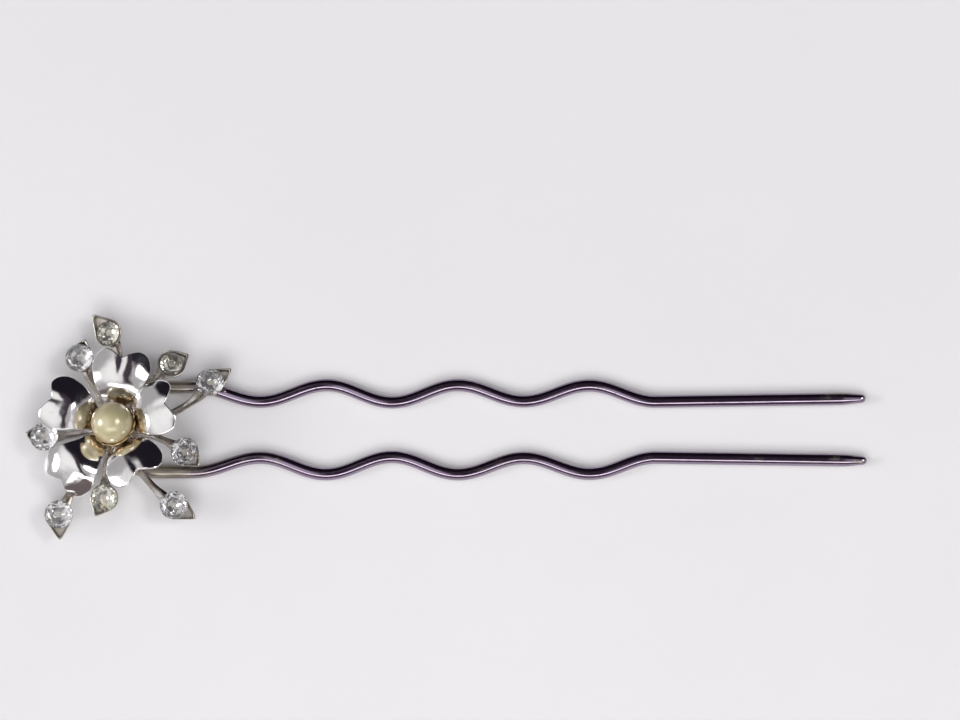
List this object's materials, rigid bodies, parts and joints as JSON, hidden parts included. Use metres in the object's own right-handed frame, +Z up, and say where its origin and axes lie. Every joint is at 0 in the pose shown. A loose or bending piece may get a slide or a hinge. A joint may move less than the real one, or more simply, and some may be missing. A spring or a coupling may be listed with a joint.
{
  "type": "decorative hair pin",
  "caption": "Wavy two-prong wire hair pin with a domed petal flower, pearl centre and leaf-shaped trays set with round cut stones.",
  "frame": {"origin": "centre of the footprint on the surface that the pin lies on", "axes": "+X along the prongs to their tips, +Z up through the flower"},
  "size_m": [0.1194, 0.0334, 0.0097],
  "materials": {
    "fork_plating": "dark polished plating, scuffed",
    "spray_plating": "satin plating, tarnished",
    "worn_plating": "dull worn plating",
    "petal_plating": "mirror polished plating",
    "pearl": "pearl coating",
    "clear_stone": "faceted, foil backed",
    "aged_stone": "faceted, yellowed foil back"
  },
  "bodies": {
    "root": {"fork_wire": "fork_plating", "back_plate": "worn_plating", "long_spray": "spray_plating", "short_spray": "spray_plating", "petal_flower": "petal_plating", "pearl_cup": "worn_plating", "centre_post": "worn_plating", "stem_rivet": "worn_plating", "pearl": "pearl", "stone_long_1": "aged_stone", "stone_long_2": "clear_stone", "stone_long_3": "clear_stone", "stone_long_4": "clear_stone", "stone_short_1": "clear_stone", "stone_short_2": "clear_stone", "stone_short_3": "aged_stone", "stone_short_4": "clear_stone", "stone_short_5": "aged_stone"}
  },
  "joints": []
}
